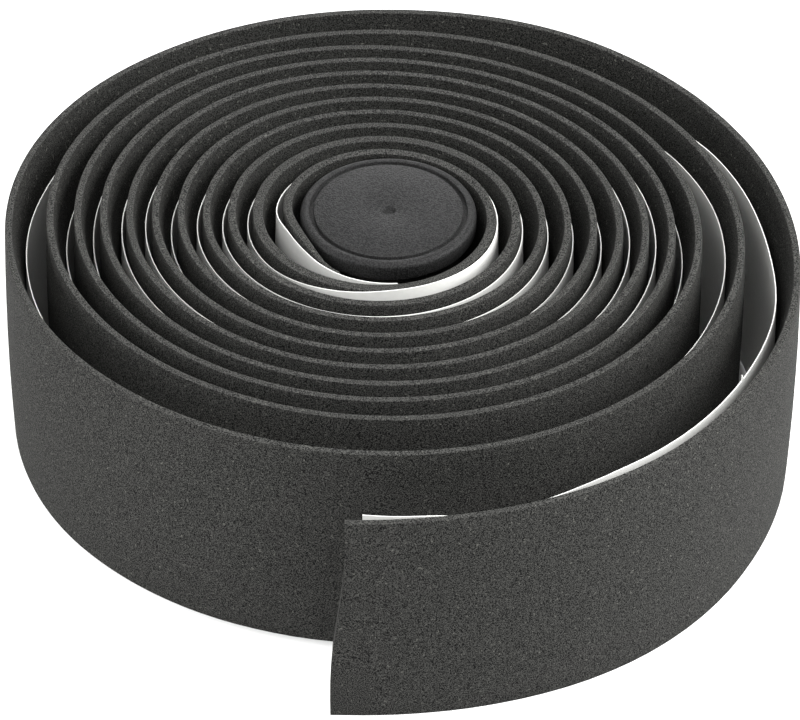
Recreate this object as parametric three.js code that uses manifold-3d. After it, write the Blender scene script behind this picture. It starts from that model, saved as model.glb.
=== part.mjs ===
// Handlebar tape roll: a strip of foam tape wound on itself with its release paper,
// and a bar end plug that the innermost turn closes round.
// Millimetres, +Z up. The roll stands on the strip's lower long edges.
import * as THREE from 'three'
import { mergeVertices } from 'three/addons/utils/BufferGeometryUtils.js'
import Module from 'manifold-3d'

const wasm = await Module()
wasm.setup()

// Foam strip. Its outer face is flat, and its inner side is skived along both long edges.
const tapeWidth = 30
const foamThickness = 2.3
const skivedEdge = 0.85
const skiveWidth = 5.5

// Release paper on the strip's inner side. Towards the inner end it has crept up in the roll,
// and at the back of the roll it lies against the next turn instead of its own.
const paperWidth = 25
const paperThickness = 0.12
const paperCreep = 2.2
const paperSetback = 2.0
const bareTurns = 0.88
const paperCrossesFrom = THREE.MathUtils.degToRad(20)
const paperCrossesTo = THREE.MathUtils.degToRad(50)

// Winding, counted in turns back from the free end. Angles are seen from above.
const turns = 10.91
const freeEndAngle = THREE.MathUtils.degToRad(-94.5)
const stepsPerTurn = 40
const layerGap = 0.1

// The turns are tight at the back and have air between them at the front and the sides.
const airPerTurn = 0.28
const airGrowth = 0.009
const frontBias = 0.32
const ovalBias = 0.5
const ovalAngle = THREE.MathUtils.degToRad(-16)

// The innermost turn is off centre on the plug, and the plug squeezes it thinner.
// Its last part is tucked in towards the plug.
const coreShift = 1.3
const coreShiftAngle = THREE.MathUtils.degToRad(40)
const plugSqueeze = 0.5
const squeezedTurns = 0.9
const innerTuck = 0.9
const tuckedTurns = 0.35
const tuckSharpness = 1.5

// Slack of the two outer turns: [turns back from the free end, how far the turn stands out]
const slack = [
  [0, 12.1], [0.1, 10.5], [0.18, 7.3], [0.26, 4.8], [0.33, 4.0], [0.43, 3.9],
  [0.52, 2.3], [0.63, 0.7], [0.75, 1.6], [0.87, 3.5], [1.01, 3.6], [1.19, 2.3],
  [1.34, 1.4], [1.45, 1.2], [1.6, 0], [1.8, 0.2], [2.0, 0.3], [2.2, 0],
]

// The free end is cut a little off square, and its lower corner leans out.
const endCutSlant = 1.6
const endLean = 1.0
const leaningTurns = 0.2

// End plug: the stem fits inside a handlebar, and the cap's rim seats on the bar's end.
const stemRadius = 8.7
const stemWall = 1.6
const stemLength = 17
const stemChamfer = 0.8
const ribCount = 3
const ribHeight = 0.5
const ribLead = 0.5
const ribTail = 0.9
const ribSpacing = 4.5
const firstRibDrop = 2.7
const slotCount = 4
const slotWidth = 1.6
const slotLength = 11
const cutterMargin = 1
const rimOverhang = 2.15
const rimHeight = 2.2
const rimRound = 0.7
const rimRoundSteps = 4
const capThickness = 3.2
const grooveInset = 1.1
const grooveWidth = 0.6
const grooveDepth = 0.4
const grooveSlope = 0.12
const gateRadius = 0.9
const gateSlope = 0.2
const gateDepth = 0.3
const plugSides = 40
const rimClearance = 0.15

const capRadius = stemRadius + rimOverhang
const layerPitch = foamThickness + paperThickness + 2 * layerGap

function windingAngle(back) {
  return freeEndAngle + 2 * Math.PI * back
}

// A smooth line through points [x, y], flat beyond the first and the last
function smoothThrough(points, x) {
  const last = points.length - 1
  if (x <= points[0][0]) return points[0][1]
  if (x >= points[last][0]) return points[last][1]
  const i = points.findIndex(([nextX]) => nextX > x) - 1
  const slopeAt = (k) => {
    const before = points[Math.max(k - 1, 0)]
    const after = points[Math.min(k + 1, last)]
    return (after[1] - before[1]) / (after[0] - before[0])
  }
  const [x0, y0] = points[i]
  const [x1, y1] = points[i + 1]
  const span = x1 - x0
  const t = (x - x0) / span
  const bend = (t * (1 - t) ** 2) * slopeAt(i) - (t ** 2 * (1 - t)) * slopeAt(i + 1)
  return y0 + (y1 - y0) * t ** 2 * (3 - 2 * t) + span * bend
}

// How far the strip's outer face lies outside the hub radius
function riseOverHub(back) {
  const wound = turns - back
  const angle = windingAngle(back)
  const offCentre = coreShift * (1 - Math.cos(angle - coreShiftAngle))
  const share = 1 - frontBias * Math.sin(angle) + ovalBias * Math.cos(2 * (angle - ovalAngle))
  const air = wound * (airPerTurn + airGrowth * wound) * share
  const tuck = innerTuck * Math.max(0, 1 - Math.max(0, wound) / tuckedTurns) ** tuckSharpness
  return wound * layerPitch + offCentre + air + smoothThrough(slack, back) - tuck
}

function foamAt(back) {
  const squeezed = Math.max(0, 1 - (turns - back) / squeezedTurns)
  return foamThickness - plugSqueeze * Math.sqrt(squeezed)
}

// Foam left at a depth below the upper long edge
function foamAtDepth(back, depth) {
  const share = Math.min(depth / skiveWidth, 1)
  return skivedEdge + (foamAt(back) - skivedEdge) * share
}

// The hub is as small as the plug's rim allows in the innermost turn
function tightestHub() {
  let hub = 0
  for (let step = 0; step <= stepsPerTurn; step++) {
    const back = turns - step / stepsPerTurn
    const inside = riseOverHub(back) - foamAtDepth(back, rimHeight)
    hub = Math.max(hub, capRadius + rimClearance - inside)
  }
  return hub
}

const hubRadius = tightestHub()

// A point of the winding at one of its steps, inset from the outer face, at a height
function stepPoint(step, insetAt, height) {
  const back = step / stepsPerTurn
  const leaning = Math.max(0, 1 - Math.max(back, 0) / leaningTurns)
  const lean = endLean * leaning * (1 - height / tapeWidth)
  const radius = hubRadius + riseOverHub(back) + lean - insetAt(back)
  const angle = windingAngle(back)
  return new THREE.Vector3(radius * Math.cos(angle), radius * Math.sin(angle), height)
}

// Any other point lies on the flat between two steps, so that all layers share their flats
function windingPoint(back, insetAt, height) {
  const step = Math.max(0, Math.floor(back * stepsPerTurn))
  const start = stepPoint(step, insetAt, height)
  return start.lerp(stepPoint(step + 1, insetAt, height), back * stepsPerTurn - step)
}

// Places along the strip from one end to the other, with a step at each flat's ends
function placesAlong(first, last) {
  const places = [first]
  for (let step = Math.floor(first * stepsPerTurn) + 1; step < last * stepsPerTurn; step++) {
    places.push(step / stepsPerTurn)
  }
  places.push(last)
  return places
}

// A closed solid through equal sections, each a list of points in the same order
function loft(sections) {
  const size = sections[0].length
  const positions = sections.flat().flatMap((point) => point.toArray())
  const indices = []
  for (let i = 0; i + 1 < sections.length; i++) {
    for (let j = 0; j < size; j++) {
      const a = i * size + j
      const b = i * size + (j + 1) % size
      indices.push(a, a + size, b, b, a + size, b + size)
    }
  }
  const end = (sections.length - 1) * size
  for (let j = 1; j + 1 < size; j++) {
    indices.push(0, j, j + 1, end, end + j + 1, end + j)
  }
  const geometry = new THREE.BufferGeometry()
  geometry.setAttribute('position', new THREE.Float32BufferAttribute(positions, 3))
  geometry.setIndex(indices)
  return geometry
}

function finish(geometry, name, color, roughness) {
  const shape = geometry.index ? geometry.toNonIndexed() : geometry
  shape.computeVertexNormals()
  const material = new THREE.MeshStandardMaterial({ color, roughness, metalness: 0 })
  const mesh = new THREE.Mesh(shape, material)
  mesh.name = name
  return mesh
}

function tapeStrip() {
  const outline = [
    [() => 0, 0],
    [() => 0, tapeWidth],
    [() => skivedEdge, tapeWidth],
    [foamAt, tapeWidth - skiveWidth],
    [foamAt, skiveWidth],
    [() => skivedEdge, 0],
  ]
  const outerTurnLength = 2 * Math.PI * (hubRadius + riseOverHub(0))
  const sections = placesAlong(0, turns).map((back, index) => outline.map(([insetAt, height]) => {
    const slant = index === 0 ? endCutSlant * (1 - height / tapeWidth) / outerTurnLength : 0
    return windingPoint(back - slant, insetAt, height)
  }))
  return finish(loft(sections), 'tape_strip', 0x3a3a39, 0.9)
}

// How far the paper stands off its own turn, from nothing at the front to all the room at the back
function paperStandOff(back) {
  const behind = Math.sin(windingAngle(back))
  const share = THREE.MathUtils.smoothstep(behind, Math.sin(paperCrossesFrom), Math.sin(paperCrossesTo))
  const pitch = riseOverHub(back) - riseOverHub(back + 1)
  return share * (pitch - foamAt(back) - paperThickness - 2 * layerGap)
}

function releasePaper() {
  const outerTurnLength = 2 * Math.PI * (hubRadius + riseOverHub(0))
  const first = paperSetback / outerTurnLength
  const last = turns - bareTurns
  const near = (back) => foamAt(back) + layerGap + paperStandOff(back)
  const far = (back) => near(back) + paperThickness
  const sections = placesAlong(first, last).map((back) => {
    const bottom = (tapeWidth - paperWidth) / 2 + paperCreep * (back / last) ** 2
    const top = bottom + paperWidth
    return [[near, bottom], [near, top], [far, top], [far, bottom]].map(
      ([insetAt, height]) => windingPoint(back, insetAt, height))
  })
  return finish(loft(sections), 'release_paper', 0xefefec, 0.55)
}

// Half section of the plug, from the middle of its face round to the middle of its inside
function plugOutline() {
  const face = tapeWidth
  const under = face - capThickness
  const bottom = under - stemLength
  const grooveOuter = capRadius - grooveInset
  const grooveInner = grooveOuter - grooveWidth
  const points = [
    [0, face - gateDepth],
    [gateRadius - gateSlope, face - gateDepth],
    [gateRadius, face],
    [grooveInner, face],
    [grooveInner + grooveSlope, face - grooveDepth],
    [grooveOuter - grooveSlope, face - grooveDepth],
    [grooveOuter, face],
  ]
  for (let i = 0; i <= rimRoundSteps; i++) {
    const turn = i / rimRoundSteps * Math.PI / 2
    points.push([
      capRadius - rimRound * (1 - Math.sin(turn)),
      face - rimRound * (1 - Math.cos(turn)),
    ])
  }
  points.push([capRadius, face - rimHeight], [stemRadius, under])
  for (let rib = 0; rib < ribCount; rib++) {
    const peak = under - firstRibDrop - rib * ribSpacing
    points.push(
      [stemRadius, peak + ribLead],
      [stemRadius + ribHeight, peak],
      [stemRadius, peak - ribTail],
    )
  }
  points.push(
    [stemRadius, bottom + stemChamfer],
    [stemRadius - stemChamfer, bottom],
    [stemRadius - stemWall, bottom],
    [stemRadius - stemWall, under],
    [0, under],
  )
  return points.reverse().map(([radius, height]) => new THREE.Vector2(radius, height))
}

function toSolid(geometry) {
  const bare = geometry.clone()
  bare.deleteAttribute('normal')
  bare.deleteAttribute('uv')
  const merged = mergeVertices(bare, 1e-4)
  return new wasm.Manifold(new wasm.Mesh({
    numProp: 3,
    vertProperties: new Float32Array(merged.attributes.position.array),
    triVerts: new Uint32Array(merged.index.array),
  }))
}

function toGeometry(solid) {
  const { vertProperties, triVerts } = solid.getMesh()
  const geometry = new THREE.BufferGeometry()
  geometry.setAttribute('position', new THREE.BufferAttribute(vertProperties, 3))
  geometry.setIndex(new THREE.BufferAttribute(triVerts, 1))
  return geometry
}

// Slots split the stem's lower end into fingers that spring inwards
function slotCutter(index) {
  const reach = stemRadius + ribHeight + cutterMargin
  const height = slotLength + cutterMargin
  const low = tapeWidth - capThickness - stemLength - cutterMargin
  const cutter = new THREE.BoxGeometry(reach, slotWidth, height)
  cutter.translate(reach / 2, 0, low + height / 2)
  cutter.rotateZ((index + 0.5) * 2 * Math.PI / slotCount)
  return toSolid(cutter)
}

function endPlug() {
  let plug = toSolid(new THREE.LatheGeometry(plugOutline(), plugSides).rotateX(Math.PI / 2))
  for (let index = 0; index < slotCount; index++) {
    plug = plug.subtract(slotCutter(index))
  }
  return finish(toGeometry(plug), 'end_plug', 0x2a2a2b, 0.45)
}

// The origin is under the middle of the whole roll, on the surface that it stands on
const pieces = new THREE.Group()
pieces.add(tapeStrip(), releasePaper(), endPlug())
const box = new THREE.Box3().setFromObject(pieces)
const middle = box.getCenter(new THREE.Vector3())
pieces.position.set(-middle.x, -middle.y, -box.min.z)

const roll = new THREE.Group()
roll.add(pieces)

export default roll
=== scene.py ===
# A roll of skived foam handlebar tape with its release paper and the end plug in its core,
# standing on a plain pale studio floor.
import math

import bmesh
import bpy
from mathutils import Matrix, Vector


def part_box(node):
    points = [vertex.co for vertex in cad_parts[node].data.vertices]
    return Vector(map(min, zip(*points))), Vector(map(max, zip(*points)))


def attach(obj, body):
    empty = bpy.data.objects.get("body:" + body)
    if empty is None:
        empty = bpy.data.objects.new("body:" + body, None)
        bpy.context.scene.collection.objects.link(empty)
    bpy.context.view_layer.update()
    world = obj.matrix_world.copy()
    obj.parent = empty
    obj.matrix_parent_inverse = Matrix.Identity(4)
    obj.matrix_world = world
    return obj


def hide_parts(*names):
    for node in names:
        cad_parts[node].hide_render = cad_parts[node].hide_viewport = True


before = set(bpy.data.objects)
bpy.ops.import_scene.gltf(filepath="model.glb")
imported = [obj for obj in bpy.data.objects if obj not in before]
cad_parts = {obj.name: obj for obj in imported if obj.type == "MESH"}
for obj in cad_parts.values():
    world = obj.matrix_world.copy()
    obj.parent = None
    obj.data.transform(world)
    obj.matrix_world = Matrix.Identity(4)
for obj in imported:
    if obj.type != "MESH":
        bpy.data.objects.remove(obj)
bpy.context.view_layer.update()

# Lengths below are in millimetres until they are multiplied by MM, as in the part's own source.
MM = 0.001

# Foam strip
FOAM_THICKNESS = 2.3
SKIVED_EDGE = 0.85
SKIVE_WIDTH = 5.5
EDGE_ROUND = 0.1
INNER_ROUND = 0.66
BULGE = 0.3
PLUG_SQUEEZE = 0.75
SQUEEZED_TURNS = 0.9
EDGE_SWELL = 0.7
SWOLLEN_TURNS = 2.5
INNER_TONGUE = 1.8
TONGUE_TAPER = 9.0
TONGUE_THICKNESS = 0.45
TONGUE_DROP = 1.2
END_CUT_SLANT = 1.6
END_CUT_WAVE = 0.35
END_CUT_REACH = 2.0
END_LEAN = 1.0
LEANING_LENGTH = 70.0
END_DROP = 0.6
DROPPED_LENGTH = 40.0

# The foam's materials, as places in its list of materials: its sanded sides, its skived inner faces made
# darker as painted shade, and its slit edges made lighter as a painted highlight
SANDED, SKIVE_PAINTED_SHADE, SLIT_PAINTED_HIGHLIGHT = 0, 1, 2

# Edge loops along the flat foam strip: how far one lies from each long edge, and the heights of the rest
EDGE_LOOP_INSET = 2.5
MIDDLE_LOOPS = (10, 15, 20)

# Steps along each strip: it is divided into this many, and each of those into as many again
STRIP_STEPS = 40

# Bends sharper than this stay sharp in a strip's shading
STRIP_CREASE = math.radians(40)

# How squarely an edge runs one way, or a face looks one way, to be picked for it, as a cosine
SQUARELY = 0.9
MOSTLY = 0.7

# How close two places are to count as the same
NEARNESS = 0.01

# Release paper
PAPER_WIDTH = 25.0
PAPER_THICKNESS = 0.12
PAPER_GAP = 0.06
PAPER_SETBACK = 2.0
PAPER_ROWS = 6
BARE_TURNS = 0.88
PAPER_CROSSES_FROM = math.radians(20)
PAPER_CROSSES_TO = math.radians(50)
TORN_TIP_PLACE = 58.6
TORN_TIP_WIDTH = 0.5
TORN_TIP_HEIGHT = 0.8
TORN_TIP_LEAN = 0.15
TORN_TIP_TAPER = 0.15

# Winding, counted in turns back from the free end, as in the part's source apart from the tuck
TURNS = 10.91
FREE_END_ANGLE = math.radians(-94.5)
LAYER_PITCH = 2.62
HUB_RADIUS = 10.87
AIR_PER_TURN = 0.28
AIR_GROWTH = 0.009
FRONT_BIAS = 0.32
OVAL_BIAS = 0.5
OVAL_ANGLE = math.radians(-16)
CORE_SHIFT = 1.3
CORE_SHIFT_ANGLE = math.radians(40)
SLACK = [
    (0, 12.1), (0.1, 10.5), (0.18, 7.3), (0.26, 4.8), (0.33, 4.0), (0.43, 3.9),
    (0.52, 2.3), (0.63, 0.7), (0.75, 1.6), (0.87, 3.5), (1.01, 3.6), (1.19, 2.3),
    (1.34, 1.4), (1.45, 1.2), (1.6, 0), (1.8, 0.2), (2.0, 0.3), (2.2, 0),
]

# How far the innermost turn is drawn in, by turns wound: a little further than in the part's source
TUCK = [(0, 0.9), (0.05, 1.4), (0.1, 1.35), (0.15, 0.7), (0.2, 0.3), (0.35, 0)]

# The guide curve that the strips are wound along: its fineness, and the straight lead at each end
PATH_STEPS_PER_TURN = 120
LEAD_IN = 6.0

# Depth of the paper's upper edge below the foam's, by turns back from the free end
PAPER_DEPTH = [
    (0, 0.45), (0.015, 1.0), (0.03, 1.3), (0.04, 1.75), (0.058, 1.85), (0.07, 1.55),
    (0.085, 1.05), (0.1, 0.78), (0.16, 1.15), (0.24, 1.9), (0.3, 2.2),
    (0.6, 2.4), (0.7, 2.6), (0.84, 3.7), (1.0, 3.2), (1.17, 2.6), (1.35, 2.4), (1.6, 4.0),
    (1.82, 4.75), (2.2, 4.2), (2.7, 3.4), (2.84, 4.6), (3.16, 2.4), (3.38, 1.4), (3.7, 2.4),
    (3.85, 2.4), (4.16, 2.3), (4.36, 1.5), (4.7, 2.4), (4.88, 1.8), (5.15, 2.1), (5.84, 3.2),
    (6.15, 2.4), (6.88, 1.8), (7.12, 1.75), (7.4, 1.8), (7.7, 2.0), (7.98, 1.36), (8.4, 1.4),
    (8.75, 1.6), (8.85, 1.5), (8.95, 0.4), (9.03, -0.3), (9.2, 0.2), (9.5, 1.0), (9.8, 0.6),
    (9.92, 0.75), (10.03, 0.95),
]

# How far the paper stands off its own turn where the roll's sides leave it room
PAPER_STAND_OFF = [
    (0, 0), (0.2, 0.2), (0.25, 1.1), (0.3, 1.2), (0.35, 1.5), (0.7, 1.5), (0.73, 1.1),
    (0.77, 0.3), (0.84, 0), (1.27, 0), (1.33, 0.4), (1.7, 0.5), (1.8, 0), (3.6, 0),
    (3.7, 0.5), (3.76, 0.3), (3.95, 0), (5.0, 0), (5.2, 0.1), (5.3, 0.5), (5.8, 0),
    (6.0, 0.1), (6.25, 0.6), (6.7, 0.3), (6.8, 0), (7.0, 0.1), (7.25, 0.5), (7.7, 0.3),
    (7.8, 0), (8.0, 0.1), (8.25, 0.5), (8.7, 0.3), (8.8, 0), (9.0, 0.1), (9.25, 0.5),
    (9.7, 0.45), (9.76, 0.5), (9.81, 1.5), (9.86, 1.65), (9.9, 1.25), (9.96, 0.55), (10.03, 0),
]

# The roll's own place in the frame: its width up the axis, and its axis through the plug
TAPE_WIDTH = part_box("tape_strip")[1].z / MM
plug_low, plug_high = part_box("end_plug")
AXIS = (Vector(plug_low) + Vector(plug_high)) / 2

# End plug: sizes as in the part's source, apart from the groove's steeper walls
CAP_RADIUS = (plug_high.x - plug_low.x) / 2 / MM
CAP_THICKNESS = 3.2
RIM_HEIGHT = 2.2
RIM_ROUND = 0.7
RIM_ROUND_STEPS = 6
GROOVE_INSET = 1.1
GROOVE_WIDTH = 0.6
GROOVE_DEPTH = 0.4
GROOVE_SLOPE = 0.05
GATE_RADIUS = 0.9
GATE_SLOPE = 0.2
GATE_DEPTH = 0.3
STEM_RADIUS = 8.7
STEM_WALL = 1.6
STEM_LENGTH = 17.0
STEM_CHAMFER = 0.8
RIB_COUNT = 3
RIB_HEIGHT = 0.5
RIB_LEAD = 0.5
RIB_TAIL = 0.9
RIB_SPACING = 4.5
FIRST_RIB_DROP = 2.7
SLOT_COUNT = 4
SLOT_WIDTH = 1.6
SLOT_LENGTH = 11.0
CUTTER_MARGIN = 1.0
PLUG_SIDES = 160
PLUG_DOUBLES_WITHIN = 0.002
PLUG_EDGE_ROUND = 0.06
PLUG_EDGE_ANGLE = math.radians(25)
PLUG_CREASE = math.radians(50)


def smooth_through(points, x):
    """A smooth line through points (x, y), flat beyond the first and the last."""
    if x <= points[0][0]:
        return points[0][1]
    if x >= points[-1][0]:
        return points[-1][1]
    i = next(k for k, point in enumerate(points) if point[0] > x) - 1

    def slope(k):
        before = points[max(k - 1, 0)]
        after = points[min(k + 1, len(points) - 1)]
        return (after[1] - before[1]) / (after[0] - before[0])

    (x0, y0), (x1, y1) = points[i], points[i + 1]
    t = (x - x0) / (x1 - x0)
    bend = t * (1 - t) ** 2 * slope(i) - t ** 2 * (1 - t) * slope(i + 1)
    return y0 + (y1 - y0) * t ** 2 * (3 - 2 * t) + (x1 - x0) * bend


def smooth_step(x, low, high):
    """From 0 at low to 1 at high, smoothly."""
    t = min(max((x - low) / (high - low), 0), 1)
    return t * t * (3 - 2 * t)


def winding_angle(back):
    return FREE_END_ANGLE + 2 * math.pi * back


def outer_radius(back):
    """Radius of the strip's outer face, a number of turns back from its free end."""
    wound = TURNS - back
    angle = winding_angle(back)
    off_centre = CORE_SHIFT * (1 - math.cos(angle - CORE_SHIFT_ANGLE))
    share = 1 - FRONT_BIAS * math.sin(angle) + OVAL_BIAS * math.cos(2 * (angle - OVAL_ANGLE))
    air = wound * (AIR_PER_TURN + AIR_GROWTH * wound) * share
    slack = smooth_through(SLACK, back) - smooth_through(TUCK, wound)
    return HUB_RADIUS + wound * LAYER_PITCH + off_centre + air + slack


def winding_point(back):
    angle = winding_angle(back)
    radius = outer_radius(back) * MM
    return Vector((AXIS.x + radius * math.cos(angle), AXIS.y + radius * math.sin(angle), 0))


WINDING = [winding_point(i / PATH_STEPS_PER_TURN)
           for i in range(math.ceil(TURNS * PATH_STEPS_PER_TURN) + 1)]
LENGTHS = [0.0]
for here, there in zip(WINDING, WINDING[1:]):
    LENGTHS.append(LENGTHS[-1] + (there - here).length / MM)


def length_at(back):
    """Length of strip from the free end to a place that many turns back, in millimetres."""
    place = back * PATH_STEPS_PER_TURN
    i = min(int(place), len(LENGTHS) - 2)
    return LENGTHS[i] + (LENGTHS[i + 1] - LENGTHS[i]) * (place - i)


def turns_at(length):
    """Turns back from the free end of a place along the strip: length_at the other way round."""
    low, high = 0, len(LENGTHS) - 2
    while low < high:
        middle = (low + high + 1) // 2
        if LENGTHS[middle] <= length:
            low = middle
        else:
            high = middle - 1
    share = (length - LENGTHS[low]) / (LENGTHS[low + 1] - LENGTHS[low])
    return (low + share) / PATH_STEPS_PER_TURN


STRIP_LENGTH = length_at(TURNS)


def end_lean(x, height):
    """How far the free end leans out at a height, most at its lower corner."""
    return END_LEAN * max(0, 1 - x / LEANING_LENGTH) ** 2 * (1 - height)


def end_drop(x, height):
    """How far the free end's upper edge lies below the rest of the roll's."""
    return END_DROP * min(1, max(0, 1 - x / DROPPED_LENGTH)) ** 2 * height


def bulge(height):
    """How far the strip's middle stands out, as foam does that is wound on itself."""
    return BULGE * 4 * height * (1 - height)


def edge_swell(wound, z):
    """How much thicker the skived edges are, as a share, where the innermost turns are pressed together."""
    into_skive = 1 - min(z, TAPE_WIDTH - z) / SKIVE_WIDTH
    share = min(max(into_skive, 0), 1)
    thickness = FOAM_THICKNESS - (FOAM_THICKNESS - SKIVED_EDGE) * share
    return EDGE_SWELL * share * max(0, 1 - wound / SWOLLEN_TURNS) / thickness


def start_piece(name):
    """Names the object just added and gives its place and size to its mesh."""
    piece = bpy.context.object
    piece.name = name
    piece.data.name = name
    bpy.ops.object.transform_apply(location=True, rotation=True, scale=True)
    return piece


def select_only(piece):
    bpy.ops.object.select_all(action="DESELECT")
    piece.select_set(True)
    bpy.context.view_layer.objects.active = piece


def pick(piece, mode, test):
    """In edit mode, selects the vertices or edges that pass a test, and only them."""
    bpy.ops.mesh.select_mode(type=mode)
    bpy.ops.mesh.select_all(action="DESELECT")
    mesh = bmesh.from_edit_mesh(piece.data)
    items = {"VERT": mesh.verts, "EDGE": mesh.edges}[mode]
    for item in items:
        item.select_set(test(item))
    mesh.select_flush_mode()
    bmesh.update_edit_mesh(piece.data)


def cut_loop(place, direction):
    """Cuts an edge loop across the whole piece at a place in millimetres."""
    bpy.ops.mesh.select_all(action="SELECT")
    bpy.ops.mesh.bisect(plane_co=Vector(direction) * place * MM, plane_no=direction)


def runs_along(edge):
    a, b = edge.verts
    span = b.co - a.co
    return abs(span.x) > SQUARELY * span.length


def near(value, target):
    return abs(value - target) < NEARNESS * MM


def apply_modifier(piece, kind, **settings):
    modifier = piece.modifiers.new(kind.title(), kind)
    for name, value in settings.items():
        setattr(modifier, name, value)
    select_only(piece)
    bpy.ops.object.modifier_apply(modifier=modifier.name)


def reshape(piece, moved):
    """Moves every vertex to where moved(x, y, z) says, in millimetres."""
    for vertex in piece.data.vertices:
        vertex.co = Vector(moved(*(vertex.co / MM))) * MM


def winding_path():
    """The spiral that the strips are wound along: a guide curve with a straight lead at each end."""
    lead_in = WINDING[0] + (WINDING[0] - WINDING[1]).normalized() * LEAD_IN * MM
    lead_out = WINDING[-1] + (WINDING[-1] - WINDING[-2]).normalized() * LEAD_IN * MM
    points = [lead_in, *WINDING, lead_out]
    curve = bpy.data.curves.new("winding_path", "CURVE")
    curve.dimensions = "3D"
    curve.twist_mode = "Z_UP"
    spline = curve.splines.new("POLY")
    spline.points.add(len(points) - 1)
    for point, place in zip(spline.points, points):
        point.co = (*place, 1)
    path = bpy.data.objects.new("winding_path", curve)
    bpy.context.collection.objects.link(path)
    return path


def wind_up(piece, path):
    """Bends a flat strip, laid along X from the free end, round the spiral."""
    reshape(piece, lambda x, y, z: (x + LEAD_IN, y, z))
    apply_modifier(piece, "CURVE", object=path, deform_axis="POS_X")
    select_only(piece)
    bpy.ops.object.shade_smooth_by_angle(angle=STRIP_CREASE)


def ripple(piece, direction, strength, size, seed):
    """Slight unevenness of a soft strip, as clouds of a size along one direction."""
    clouds = bpy.data.textures.new(f"{piece.name}_{direction.lower()}_clouds", "CLOUDS")
    clouds.noise_scale = size * MM
    clouds.noise_basis = "IMPROVED_PERLIN"
    shift = bpy.data.objects.new(f"{piece.name}_clouds_place", None)
    shift.location = (seed, seed, 0)
    bpy.context.collection.objects.link(shift)
    apply_modifier(
        piece, "DISPLACE", texture=clouds, texture_coords="OBJECT", texture_coords_object=shift,
        direction=direction, strength=strength * MM, mid_level=0.5,
    )
    bpy.data.objects.remove(shift)


def foam_tape(path):
    """The foam strip, modelled flat from a long bar and wound up."""
    bpy.ops.mesh.primitive_cube_add(size=1)
    bar = bpy.context.object
    bar.scale = ((STRIP_LENGTH + INNER_TONGUE) * MM, FOAM_THICKNESS * MM, TAPE_WIDTH * MM)
    bar.location = bar.scale / 2
    tape = start_piece("foam_tape")
    inner = FOAM_THICKNESS * MM
    top = TAPE_WIDTH * MM

    def on_long_edge(vertex):
        return near(vertex.co.z, 0) or near(vertex.co.z, top)

    bpy.ops.object.mode_set(mode="EDIT")
    for height in (SKIVE_WIDTH, TAPE_WIDTH - SKIVE_WIDTH):
        cut_loop(height, (0, 0, 1))
    pick(tape, "VERT", lambda v: near(v.co.y, inner) and on_long_edge(v))
    bpy.ops.transform.translate(value=(0, (SKIVED_EDGE - FOAM_THICKNESS) * MM, 0))
    pick(tape, "EDGE", lambda e: runs_along(e) and all(on_long_edge(v) for v in e.verts))
    bpy.ops.mesh.bevel(offset=EDGE_ROUND * MM, segments=3)
    pick(tape, "EDGE", lambda e: runs_along(e) and all(near(v.co.y, inner) for v in e.verts))
    bpy.ops.mesh.bevel(offset=INNER_ROUND * MM, segments=3)
    for height in (EDGE_LOOP_INSET, *MIDDLE_LOOPS, TAPE_WIDTH - EDGE_LOOP_INSET):
        cut_loop(height, (0, 0, 1))
    for _ in range(2):
        pick(tape, "EDGE", runs_along)
        bpy.ops.mesh.subdivide(number_cuts=STRIP_STEPS - 1)
    bpy.ops.object.mode_set(mode="OBJECT")
    for face in tape.data.polygons:
        # Faces that look inwards, the skived bevels and the inner face, get the darker foam: painted shade
        side = SKIVE_PAINTED_SHADE if face.normal.y > SQUARELY else SANDED
        # Faces that look up or down, the slit edges, get the lighter foam: a painted highlight
        face.material_index = SLIT_PAINTED_HIGHLIGHT if abs(face.normal.z) > MOSTLY else side
    ripple(tape, "Y", strength=0.1, size=14, seed=3.0)
    ripple(tape, "Z", strength=0.2, size=30, seed=7.0)

    def as_wound(x, y, z):
        height = z / TAPE_WIDTH
        wound = TURNS - turns_at(min(max(x, 0), STRIP_LENGTH))
        squeeze = PLUG_SQUEEZE * math.sqrt(max(0, 1 - wound / SQUEEZED_TURNS))
        thinner = (1 - squeeze / FOAM_THICKNESS) * (1 + edge_swell(wound, z))
        tongue = smooth_step(x, STRIP_LENGTH + INNER_TONGUE - TONGUE_TAPER, STRIP_LENGTH + INNER_TONGUE)
        thinner *= 1 - (1 - TONGUE_THICKNESS) * tongue
        lower = TONGUE_DROP * tongue ** 2 * height + end_drop(x, height)
        cut = max(0, 1 - x / END_CUT_REACH) * (
            END_CUT_SLANT * (1 - height) + END_CUT_WAVE * math.sin(2 * math.pi * height))
        return x - cut, y * thinner - end_lean(x, height) - bulge(height) * min(1, wound), z - lower

    reshape(tape, as_wound)
    wind_up(tape, path)
    return tape


def paper_stand_off(back):
    """How far the paper stands off its own turn. At the back of the roll it lies on the next one."""
    side = smooth_through(PAPER_STAND_OFF, back)
    if back + 1 > TURNS:
        return side
    pitch = outer_radius(back) - outer_radius(back + 1)
    room = pitch - FOAM_THICKNESS - PAPER_THICKNESS - 3 * PAPER_GAP
    behind = smooth_step(
        math.sin(winding_angle(back)), math.sin(PAPER_CROSSES_FROM), math.sin(PAPER_CROSSES_TO))
    side = min(side, room)
    return max(0, side + (room - side) * behind)


def tear_tip(paper, place):
    """A small torn tip on the paper's upper edge."""
    half = TORN_TIP_WIDTH / 2
    for side in (place - half, place + half):
        cut_loop(side, (1, 0, 0))
    pick(paper, "EDGE", lambda e: all(
        near(v.co.z, PAPER_WIDTH * MM) and abs(v.co.x / MM - place) < half + NEARNESS
        for v in e.verts))
    bpy.ops.mesh.extrude_edges_move(
        TRANSFORM_OT_translate={"value": (-TORN_TIP_LEAN * MM, 0, TORN_TIP_HEIGHT * MM)})
    bpy.ops.transform.resize(value=(TORN_TIP_TAPER, 1, 1))


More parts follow.
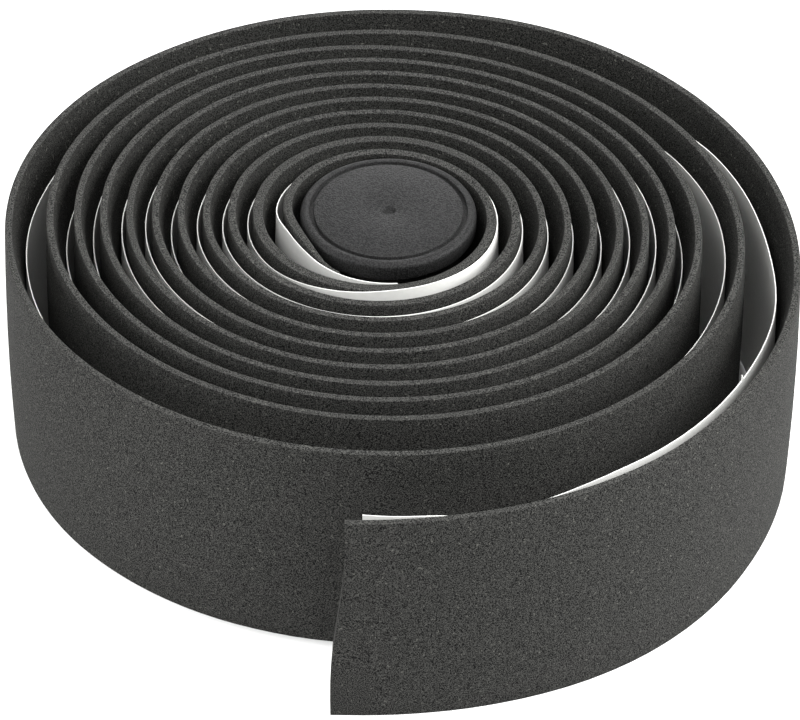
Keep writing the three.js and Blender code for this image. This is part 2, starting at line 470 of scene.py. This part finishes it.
def paper_backing(path):
    """The release paper, modelled flat as a fine grid, given its thickness and wound up."""
    first = PAPER_SETBACK
    last = length_at(TURNS - BARE_TURNS)
    bpy.ops.mesh.primitive_grid_add(
        x_subdivisions=STRIP_STEPS ** 2, y_subdivisions=PAPER_ROWS, size=1,
        rotation=(math.pi / 2, 0, 0))
    sheet = bpy.context.object
    sheet.scale = ((last - first) * MM, PAPER_WIDTH * MM, 1)
    sheet.location = ((last + first) / 2 * MM, 0, PAPER_WIDTH / 2 * MM)
    paper = start_piece("paper_backing")
    bpy.ops.object.mode_set(mode="EDIT")
    tear_tip(paper, TORN_TIP_PLACE)
    bpy.ops.object.mode_set(mode="OBJECT")

    def as_wound(x, y, z):
        back = turns_at(x)
        lowest = TAPE_WIDTH - smooth_through(PAPER_DEPTH, back) - PAPER_WIDTH
        height = (lowest + z) / TAPE_WIDTH
        inset = FOAM_THICKNESS + PAPER_GAP + paper_stand_off(back)
        return x, inset - end_lean(x, height) - bulge(height), lowest + z - end_drop(x, height)

    reshape(paper, as_wound)
    apply_modifier(paper, "SOLIDIFY", thickness=PAPER_THICKNESS * MM, offset=-1)
    wind_up(paper, path)
    return paper


def plug_outline():
    """Half section of the plug as (radius, depth), from the middle of its face to that of its inside."""
    groove_outer = CAP_RADIUS - GROOVE_INSET
    groove_inner = groove_outer - GROOVE_WIDTH
    points = [
        (0, GATE_DEPTH),
        (GATE_RADIUS - GATE_SLOPE, GATE_DEPTH),
        (GATE_RADIUS, 0),
        (groove_inner, 0),
        (groove_inner + GROOVE_SLOPE, GROOVE_DEPTH),
        (groove_outer - GROOVE_SLOPE, GROOVE_DEPTH),
        (groove_outer, 0),
    ]
    for i in range(RIM_ROUND_STEPS + 1):
        turn = i / RIM_ROUND_STEPS * math.pi / 2
        points.append((
            CAP_RADIUS - RIM_ROUND * (1 - math.sin(turn)), RIM_ROUND * (1 - math.cos(turn))))
    points += [(CAP_RADIUS, RIM_HEIGHT), (STEM_RADIUS, CAP_THICKNESS)]
    for rib in range(RIB_COUNT):
        peak = CAP_THICKNESS + FIRST_RIB_DROP + rib * RIB_SPACING
        points += [
            (STEM_RADIUS, peak - RIB_LEAD),
            (STEM_RADIUS + RIB_HEIGHT, peak),
            (STEM_RADIUS, peak + RIB_TAIL),
        ]
    bottom = CAP_THICKNESS + STEM_LENGTH
    points += [
        (STEM_RADIUS, bottom - STEM_CHAMFER),
        (STEM_RADIUS - STEM_CHAMFER, bottom),
        (STEM_RADIUS - STEM_WALL, bottom),
        (STEM_RADIUS - STEM_WALL, CAP_THICKNESS),
        (0, CAP_THICKNESS),
    ]
    return points


def cut_slot(plug, index):
    """Cuts one slot into the stem's lower end, which splits it into fingers that spring inwards."""
    reach = STEM_RADIUS + RIB_HEIGHT + CUTTER_MARGIN
    height = SLOT_LENGTH + CUTTER_MARGIN
    low = plug_low.z / MM - CUTTER_MARGIN
    bpy.ops.mesh.primitive_cube_add(size=1)
    cutter = bpy.context.object
    turn = Matrix.Rotation((index + 0.5) * 2 * math.pi / SLOT_COUNT, 4, "Z")
    place = turn @ Vector((reach / 2 * MM, 0, 0)) + Vector((AXIS.x, AXIS.y, (low + height / 2) * MM))
    size = Matrix.Diagonal((reach * MM, SLOT_WIDTH * MM, height * MM, 1))
    cutter.matrix_world = Matrix.Translation(place) @ turn @ size
    apply_modifier(plug, "BOOLEAN", object=cutter, operation="DIFFERENCE", solver="EXACT")
    bpy.data.objects.remove(cutter)


def end_plug():
    """The plug, spun from its half section, with its stem slotted and its edges eased."""
    bpy.ops.mesh.primitive_plane_add(size=MM)
    plug = start_piece("bar_end_plug")
    bpy.ops.object.mode_set(mode="EDIT")
    bpy.ops.mesh.select_all(action="SELECT")
    bpy.ops.mesh.delete(type="VERT")
    mesh = bmesh.from_edit_mesh(plug.data)
    points = [mesh.verts.new((AXIS.x + radius * MM, AXIS.y, plug_high.z - depth * MM))
              for radius, depth in plug_outline()]
    for a, b in zip(points, points[1:]):
        mesh.edges.new((a, b))
    bmesh.update_edit_mesh(plug.data)
    bpy.ops.mesh.select_all(action="SELECT")
    bpy.ops.mesh.spin(
        steps=PLUG_SIDES, angle=2 * math.pi, center=(AXIS.x, AXIS.y, 0), axis=(0, 0, 1))
    bpy.ops.mesh.select_all(action="SELECT")
    bpy.ops.mesh.remove_doubles(threshold=PLUG_DOUBLES_WITHIN * MM)
    bpy.ops.mesh.normals_make_consistent(inside=False)
    bpy.ops.object.mode_set(mode="OBJECT")
    for index in range(SLOT_COUNT):
        cut_slot(plug, index)
    apply_modifier(
        plug, "BEVEL", width=PLUG_EDGE_ROUND * MM, segments=2,
        limit_method="ANGLE", angle_limit=PLUG_EDGE_ANGLE,
    )
    select_only(plug)
    bpy.ops.object.shade_smooth_by_angle(angle=PLUG_CREASE)
    return plug


def linear(hex_colour):
    """A colour's sRGB hex value as linear RGBA."""
    parts = [int(hex_colour[i:i + 2], 16) / 255 for i in (1, 3, 5)]
    return [c / 12.92 if c <= 0.04045 else ((c + 0.055) / 1.055) ** 2.4 for c in parts] + [1]


def add_node(tree, kind, inputs, **settings):
    """Adds a node with its settings, and gives each input a value or another node's output."""
    node = tree.nodes.new(kind)
    for name, value in settings.items():
        setattr(node, name, value)
    for name, value in inputs.items():
        if isinstance(value, bpy.types.NodeSocket):
            tree.links.new(value, node.inputs[name])
        else:
            node.inputs[name].default_value = value
    return node


# Sockets of a colour mix: its share, its two colours and its result
MIX_SHARE, MIX_FIRST, MIX_SECOND, MIX_RESULT = 0, 6, 7, 2


def new_material(name):
    material = bpy.data.materials.new(name)
    material.use_nodes = True
    tree = material.node_tree
    shader = tree.nodes["Principled BSDF"]
    place = tree.nodes.new("ShaderNodeTexCoord").outputs["Object"]
    return material, tree, shader, place


def per_mm(size):
    """Texture scale whose features are a size in millimetres."""
    return 1 / (size * MM)


def sanded_foam():
    """Closed-cell EVA foam, sanded on its outer face: matt charcoal with a fine dense grain."""
    return cellular_foam("sanded_eva_foam", "#090909", "#3d3d3b")


def skived_foam_painted_shade():
    """The same foam on its skived inner faces, made blacker as painted shade, for these faces lie in the
    gaps between the turns.
    """
    return cellular_foam("skived_eva_foam_painted_shade", "#070707", "#2f2f2d")


def slit_foam_painted_highlight():
    """The same foam along its slit edges, made lighter as a painted highlight, for these edges face up to
    the lamps.
    """
    return cellular_foam("slit_eva_foam_painted_highlight", "#0e0e0e", "#444442")


def cellular_foam(name, wall_colour, cell_colour):
    """Foam whose cells catch the light between darker walls.

    The cells of the real foam are about 0.1 mm wide. They are drawn as 0.14 mm, so that they show.
    """
    material, tree, shader, place = new_material(name)
    shader.inputs["Roughness"].default_value = 0.9
    shader.inputs["Specular IOR Level"].default_value = 0.1
    cells = add_node(tree, "ShaderNodeTexNoise", {
        "Vector": place, "Scale": per_mm(0.14), "Detail": 1.0, "Roughness": 0.5})
    cell_share = add_node(tree, "ShaderNodeMapRange", {
        "Value": cells.outputs["Fac"], "From Min": 0.4, "From Max": 0.6})
    grain = add_node(tree, "ShaderNodeMix", {
        MIX_SHARE: cell_share.outputs["Result"],
        MIX_FIRST: linear(wall_colour),
        MIX_SECOND: linear(cell_colour),
    }, data_type="RGBA")
    # Rare light specks mixed into the colour: painted glints of cells catching the light
    painted_glint_noise = add_node(tree, "ShaderNodeTexNoise", {
        "Vector": place, "Scale": per_mm(0.36), "Detail": 1.0})
    painted_glint_share = add_node(tree, "ShaderNodeMapRange", {
        "Value": painted_glint_noise.outputs["Fac"], "From Min": 0.66, "From Max": 0.78, "To Max": 0.6})
    with_painted_glints = add_node(tree, "ShaderNodeMix", {
        MIX_SHARE: painted_glint_share.outputs["Result"],
        MIX_FIRST: grain.outputs[MIX_RESULT],
        MIX_SECOND: linear("#62625d"),
    }, data_type="RGBA")
    tree.links.new(with_painted_glints.outputs[MIX_RESULT], shader.inputs["Base Color"])
    bump = add_node(tree, "ShaderNodeBump", {
        "Height": cells.outputs["Fac"], "Strength": 0.7, "Distance": 0.1 * MM})
    tree.links.new(bump.outputs["Normal"], shader.inputs["Normal"])
    return material


def siliconised_paper():
    """White glassine release paper, calendered and siliconised: smooth, with a slight gloss."""
    material, tree, shader, place = new_material("siliconised_paper")
    shader.inputs["Roughness"].default_value = 0.42
    fibres = add_node(tree, "ShaderNodeTexNoise", {
        "Vector": place, "Scale": per_mm(0.8), "Detail": 4.0})
    tone = add_node(tree, "ShaderNodeMix", {
        MIX_SHARE: fibres.outputs["Fac"],
        MIX_FIRST: linear("#dadad6"),
        MIX_SECOND: linear("#e7e7e4"),
    }, data_type="RGBA")
    tree.links.new(tone.outputs[MIX_RESULT], shader.inputs["Base Color"])
    bump = add_node(tree, "ShaderNodeBump", {
        "Height": fibres.outputs["Fac"], "Strength": 0.1, "Distance": 0.03 * MM})
    tree.links.new(bump.outputs["Normal"], shader.inputs["Normal"])
    return material


def moulded_nylon():
    """Moulded black nylon with a fine spark-eroded texture: satin, less matt than the foam.

    The texture's pits are about 0.05 mm wide on the real part. They are drawn as 0.17 mm.
    """
    material, tree, shader, place = new_material("moulded_nylon")
    shader.inputs["Roughness"].default_value = 0.6
    shader.inputs["Specular IOR Level"].default_value = 0.2
    pits = add_node(tree, "ShaderNodeTexNoise", {
        "Vector": place, "Scale": per_mm(0.17), "Detail": 1.0, "Roughness": 0.5})
    pit_share = add_node(tree, "ShaderNodeMapRange", {
        "Value": pits.outputs["Fac"], "From Min": 0.44, "From Max": 0.56})
    tone = add_node(tree, "ShaderNodeMix", {
        MIX_SHARE: pit_share.outputs["Result"],
        MIX_FIRST: linear("#090909"),
        MIX_SECOND: linear("#242424"),
    }, data_type="RGBA")
    tree.links.new(tone.outputs[MIX_RESULT], shader.inputs["Base Color"])
    bump = add_node(tree, "ShaderNodeBump", {
        "Height": pits.outputs["Fac"], "Strength": 0.9, "Distance": 0.08 * MM})
    tree.links.new(bump.outputs["Normal"], shader.inputs["Normal"])
    return material


# The floor is a pale light table. Its glow keeps shadows faint, and starts under the roll's rim:
# how strong it is, and the distances from the roll's axis where it starts and where it is full.
FLOOR_GLOW = 0.6
GLOW_STARTS = 45.5
GLOW_IS_FULL = 47.5

# The floor's width in metres
FLOOR_WIDTH = 8


def studio_floor():
    bpy.ops.object.select_all(action="DESELECT")
    bpy.ops.mesh.primitive_plane_add(size=FLOOR_WIDTH)
    floor = start_piece("studio_floor")
    material, tree, shader, place = new_material("white_studio_floor")
    shader.inputs["Base Color"].default_value = linear("#c4c4c4")
    shader.inputs["Roughness"].default_value = 0.9
    shader.inputs["Emission Color"].default_value = (1, 1, 1, 1)
    distance = add_node(
        tree, "ShaderNodeVectorMath", {0: place, 1: (AXIS.x, AXIS.y, 0)}, operation="DISTANCE")
    glow = add_node(tree, "ShaderNodeMapRange", {
        "Value": distance.outputs["Value"],
        "From Min": GLOW_STARTS * MM,
        "From Max": GLOW_IS_FULL * MM,
        "To Max": FLOOR_GLOW,
    })
    tree.links.new(glow.outputs["Result"], shader.inputs["Emission Strength"])
    floor.data.materials.append(material)


def soft_light(name, place, size, power):
    """A round softbox at a place in metres, aimed at the roll."""
    light = bpy.data.lights.new(name, "AREA")
    light.shape = "DISK"
    light.size = size
    light.energy = power
    lamp = bpy.data.objects.new(name, light)
    lamp.location = place
    aim = Vector((0, 0, TAPE_WIDTH / 2 * MM))
    lamp.rotation_euler = (aim - Vector(place)).to_track_quat("-Z", "Y").to_euler()
    bpy.context.collection.objects.link(lamp)


# Softboxes: name, place in metres, width in metres and power in watts
SOFTBOXES = [
    ("right_softbox", (0.9, 0.05, 0.75), 0.8, 24.5),
    ("low_right_softbox", (1.1, -0.2, 0.35), 0.7, 7.5),
    ("low_left_softbox", (-1.1, -0.1, 0.25), 0.6, 13.0),
    ("front_left_softbox", (-0.6, -0.5, 0.95), 0.7, 8.0),
    ("front_softbox", (0.0, -0.7, 1.0), 0.7, 7.0),
    ("front_right_softbox", (0.6, -0.6, 0.95), 0.7, 3.0),
    ("overhead_softbox", (0.0, 0.3, 1.2), 0.7, 5.0),
    ("back_softbox", (0.0, 1.2, 0.3), 0.7, 8.0),
]
SKY_LIGHT = 0.06


def studio():
    studio_floor()
    for softbox in SOFTBOXES:
        soft_light(*softbox)
    world = bpy.data.worlds.new("studio_white")
    world.use_nodes = True
    world.node_tree.nodes["Background"].inputs["Color"].default_value = (1, 1, 1, 1)
    world.node_tree.nodes["Background"].inputs["Strength"].default_value = SKY_LIGHT
    bpy.context.scene.world = world
    bpy.context.scene.view_settings.view_transform = "Standard"


# Camera: its place from the roll's axis, how far it looks down, its slight roll, its lens and its film
CAMERA_PLACE = (1.63, -482.1, 411.18)
CAMERA_PITCH = math.radians(40.045)
CAMERA_ROLL = math.radians(0.631)
CAMERA_LENS = 225
CAMERA_FILM_WIDTH = 36


def camera():
    lens = bpy.data.cameras.new("camera")
    lens.lens = CAMERA_LENS
    lens.sensor_width = CAMERA_FILM_WIDTH
    eye = bpy.data.objects.new("camera", lens)
    turn = Matrix.Rotation(math.pi / 2 - CAMERA_PITCH, 4, "X") @ Matrix.Rotation(CAMERA_ROLL, 4, "Z")
    x, y, z = CAMERA_PLACE
    eye.matrix_world = Matrix.Translation((AXIS.x + x * MM, AXIS.y + y * MM, z * MM)) @ turn
    bpy.context.collection.objects.link(eye)
    bpy.context.scene.camera = eye


def dress(piece, node, slot, *materials):
    for material in materials:
        piece.data.materials.append(material)
    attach(piece, "root")
    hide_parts(node)


bpy.ops.object.select_all(action="DESELECT")
camera()
path = winding_path()
tape = foam_tape(path)
paper = paper_backing(path)
bpy.data.objects.remove(path)
plug = end_plug()
dress(tape, "tape_strip", "foam", sanded_foam(), skived_foam_painted_shade(), slit_foam_painted_highlight())
dress(paper, "release_paper", "paper", siliconised_paper())
dress(plug, "end_plug", "plug", moulded_nylon())
studio()
